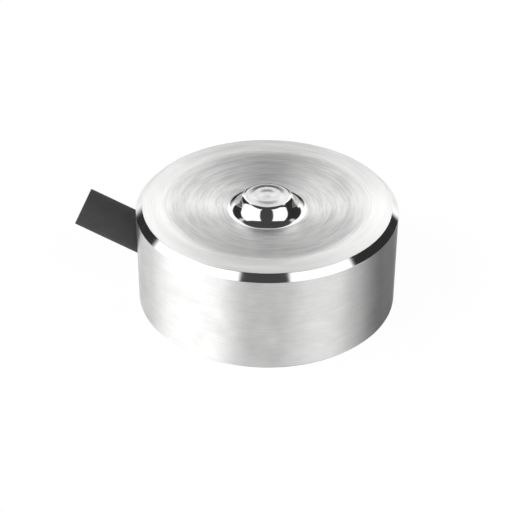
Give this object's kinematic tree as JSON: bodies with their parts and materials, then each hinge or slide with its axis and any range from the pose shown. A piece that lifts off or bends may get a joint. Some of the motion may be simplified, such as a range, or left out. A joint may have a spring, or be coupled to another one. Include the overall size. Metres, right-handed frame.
{
  "type": "button load cell",
  "caption": "Low round steel force sensor with a domed load button on a dished top, tapped base holes and a short side cable tail.",
  "frame": {"origin": "centre of the base ring, in the plane the sensor stands on", "axes": "+Z along the load axis out of the button; -X towards the cable outlet; +Y to the left of an observer who looks along +X"},
  "size_m": [0.0251, 0.02, 0.009],
  "materials": {
    "body_steel": "satin",
    "cover_steel": "satin",
    "jacket": "matte",
    "grommet_rubber": "matte",
    "shield_braid": "satin",
    "insulation_red": "satin",
    "insulation_black": "satin",
    "insulation_green": "satin",
    "insulation_white": "satin",
    "copper": "satin",
    "solder": "satin",
    "board": "satin",
    "gauge_film": "satin",
    "gauge_foil": "satin",
    "resistor": "satin",
    "clamp_brass": "satin"
  },
  "bodies": {
    "root": {"body": "body_steel", "base_cover": "cover_steel", "bridge_board": "board", "outlet_grommet": "grommet_rubber", "cable_clamp": "clamp_brass", "cable_jacket": "jacket", "cable_shield": "shield_braid", "shield_drain": "shield_braid", "core_red": "insulation_red", "copper_red": "copper", "solder_red": "solder", "core_black": "insulation_black", "copper_black": "copper", "solder_black": "solder", "core_green": "insulation_green", "copper_green": "copper", "solder_green": "solder", "core_white": "insulation_white", "copper_white": "copper", "solder_white": "solder", "gauge_film_1": "gauge_film", "gauge_grid_1": "gauge_foil", "gauge_lead_1a": "copper", "gauge_lead_1b": "copper", "gauge_film_2": "gauge_film", "gauge_grid_2": "gauge_foil", "gauge_lead_2a": "copper", "gauge_lead_2b": "copper", "gauge_film_3": "gauge_film", "gauge_grid_3": "gauge_foil", "gauge_lead_3a": "copper", "gauge_lead_3b": "copper", "gauge_film_4": "gauge_film", "gauge_grid_4": "gauge_foil", "gauge_lead_4a": "copper", "gauge_lead_4b": "copper", "trim_zero": "resistor", "trim_span": "resistor", "trim_zero_drift": "resistor", "trim_span_drift": "resistor"}
  },
  "joints": []
}
